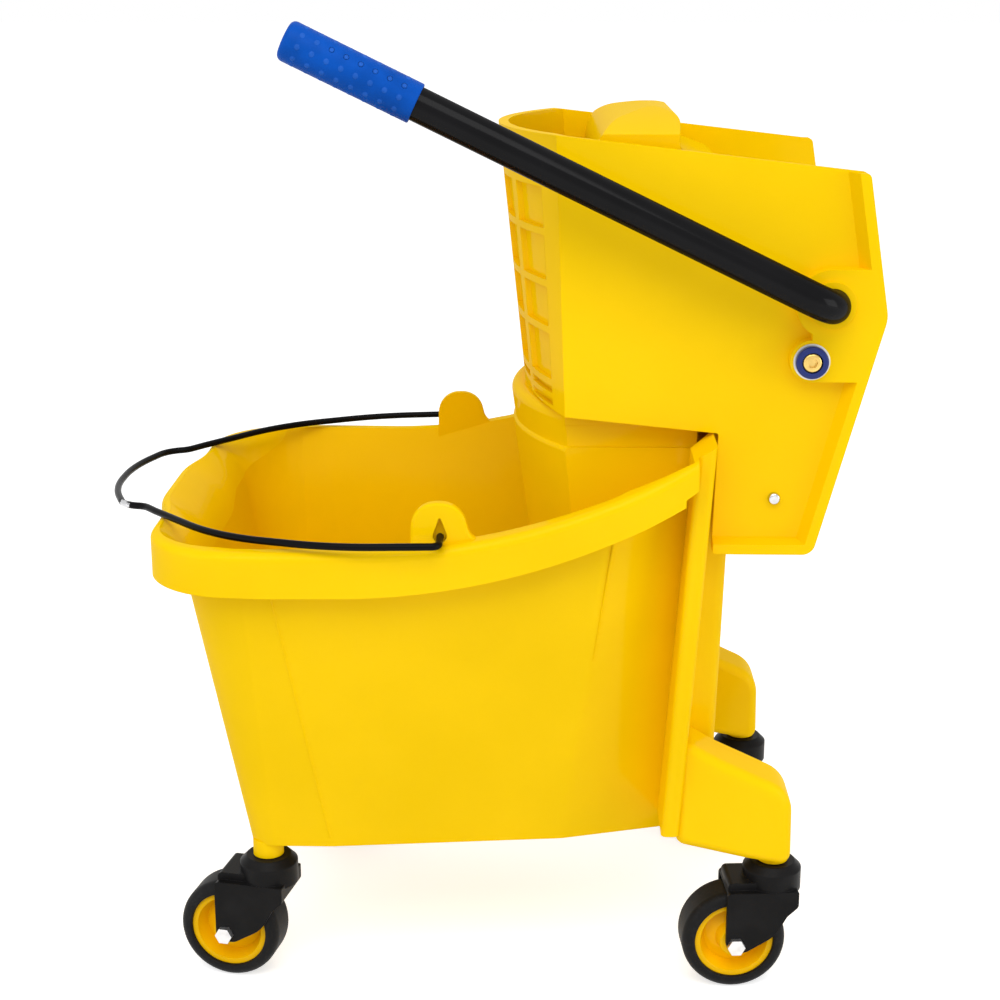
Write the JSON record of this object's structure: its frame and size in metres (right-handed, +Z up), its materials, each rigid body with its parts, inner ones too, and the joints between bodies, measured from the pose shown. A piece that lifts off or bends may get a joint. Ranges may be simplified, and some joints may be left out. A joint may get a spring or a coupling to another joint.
{
  "type": "mop bucket trolley",
  "caption": "Moulded mop bucket on swivel casters with a wire bail and a lift-off side-press wringer worked by a long lever.",
  "frame": {"origin": "floor under the middle of the object's box", "axes": "+Z up, -X towards the bail and spout, -Y towards the lever's side"},
  "size_m": [0.5399, 0.3834, 0.6835],
  "materials": {
    "yellow_plastic": "glossy moulded yellow",
    "hub_plastic": "moulded, slightly warmer yellow",
    "black_plastic": "satin moulded black",
    "tyre": "matt black tread",
    "black_tube": "glossy black coating on steel tube",
    "black_wire": "black coating on round wire",
    "blue_grip": "satin blue sleeve with raised dots",
    "blue_plastic": "glossy dark blue",
    "zinc_steel": "zinc plated",
    "white_zinc": "bright zinc plated",
    "gold_steel": "yellow passivated"
  },
  "bodies": {
    "bucket": {"bucket_tub": "yellow_plastic", "caster_stems": "zinc_steel"},
    "bail": {"bail_wire": "black_wire"},
    "wringer": {"wringer_housing": "yellow_plastic", "pivot_bush_left": "yellow_plastic", "pivot_bush_right": "yellow_plastic", "tie_bolt": "gold_steel", "tie_cup": "blue_plastic", "tie_nut": "zinc_steel", "tie_washers": "zinc_steel", "hinge_pin": "zinc_steel", "hinge_pin_caps": "zinc_steel"},
    "lever": {"lever_tube": "black_tube", "lever_grip": "blue_grip", "shaft_cap": "black_plastic", "crank_arm_left": "zinc_steel", "crank_arm_right": "zinc_steel", "crank_pins": "zinc_steel"},
    "press": {"press_plate": "yellow_plastic"},
    "caster_front_left": {"front_left_fork": "black_plastic", "front_left_axle_bolt": "white_zinc", "front_left_axle_nut": "white_zinc", "front_left_axle_bush": "zinc_steel"},
    "wheel_front_left": {"front_left_hub": "hub_plastic", "front_left_tyre": "tyre"},
    "caster_front_right": {"front_right_fork": "black_plastic", "front_right_axle_bolt": "white_zinc", "front_right_axle_nut": "white_zinc", "front_right_axle_bush": "zinc_steel"},
    "wheel_front_right": {"front_right_hub": "hub_plastic", "front_right_tyre": "tyre"},
    "caster_rear_left": {"rear_left_fork": "black_plastic", "rear_left_axle_bolt": "white_zinc", "rear_left_axle_nut": "white_zinc", "rear_left_axle_bush": "zinc_steel"},
    "wheel_rear_left": {"rear_left_hub": "hub_plastic", "rear_left_tyre": "tyre"},
    "caster_rear_right": {"rear_right_fork": "black_plastic", "rear_right_axle_bolt": "white_zinc", "rear_right_axle_nut": "white_zinc", "rear_right_axle_bush": "zinc_steel"},
    "wheel_rear_right": {"rear_right_hub": "hub_plastic", "rear_right_tyre": "tyre"}
  },
  "joints": [
    {"name": "bail_swing", "type": "hinge", "parent": "bucket", "child": "bail", "pos_m": [-0.02075, 0, 0.353], "axis": [0, 1, 0], "range_deg": [0, 90]},
    {"name": "wringer_lift", "type": "slide", "parent": "bucket", "child": "wringer", "axis": [0, 0, 1], "range_m": [0, 0.3]},
    {"name": "lever_pull", "type": "hinge", "parent": "wringer", "child": "lever", "pos_m": [0.23375, 0, 0.5038], "axis": [0, 1, 0], "range_deg": [0, 72]},
    {"name": "press_swing", "type": "hinge", "parent": "wringer", "child": "press", "pos_m": [0.20225, 0, 0.371], "axis": [0, 1, 0], "range_deg": [0, 19.45]},
    {"name": "swivel_front_left", "type": "hinge", "parent": "bucket", "child": "caster_front_left", "pos_m": [-0.15075, -0.114, 0.0955], "axis": [0, 0, 1], "continuous": true},
    {"name": "roll_front_left", "type": "hinge", "parent": "caster_front_left", "child": "wheel_front_left", "pos_m": [-0.17814, -0.10818, 0.0375], "axis": [0.2079, 0.9781, 0], "continuous": true},
    {"name": "swivel_front_right", "type": "hinge", "parent": "bucket", "child": "caster_front_right", "pos_m": [-0.15075, 0.114, 0.0955], "axis": [0, 0, 1], "continuous": true},
    {"name": "roll_front_right", "type": "hinge", "parent": "caster_front_right", "child": "wheel_front_right", "pos_m": [-0.12336, 0.10818, 0.0375], "axis": [-0.2079, -0.9781, 0], "continuous": true},
    {"name": "swivel_rear_left", "type": "hinge", "parent": "bucket", "child": "caster_rear_left", "pos_m": [0.21425, -0.114, 0.0955], "axis": [0, 0, 1], "continuous": true},
    {"name": "roll_rear_left", "type": "hinge", "parent": "caster_rear_left", "child": "wheel_rear_left", "pos_m": [0.18632, -0.11595, 0.0375], "axis": [-0.0698, 0.9976, 0], "continuous": true},
    {"name": "swivel_rear_right", "type": "hinge", "parent": "bucket", "child": "caster_rear_right", "pos_m": [0.21425, 0.114, 0.0955], "axis": [0, 0, 1], "continuous": true},
    {"name": "roll_rear_right", "type": "hinge", "parent": "caster_rear_right", "child": "wheel_rear_right", "pos_m": [0.18646, 0.11741, 0.0375], "axis": [0.1219, 0.9925, 0], "continuous": true}
  ],
  "couplings": [
    {"joint": "press_swing", "follows": "lever_pull", "ratio": 0.27}
  ]
}
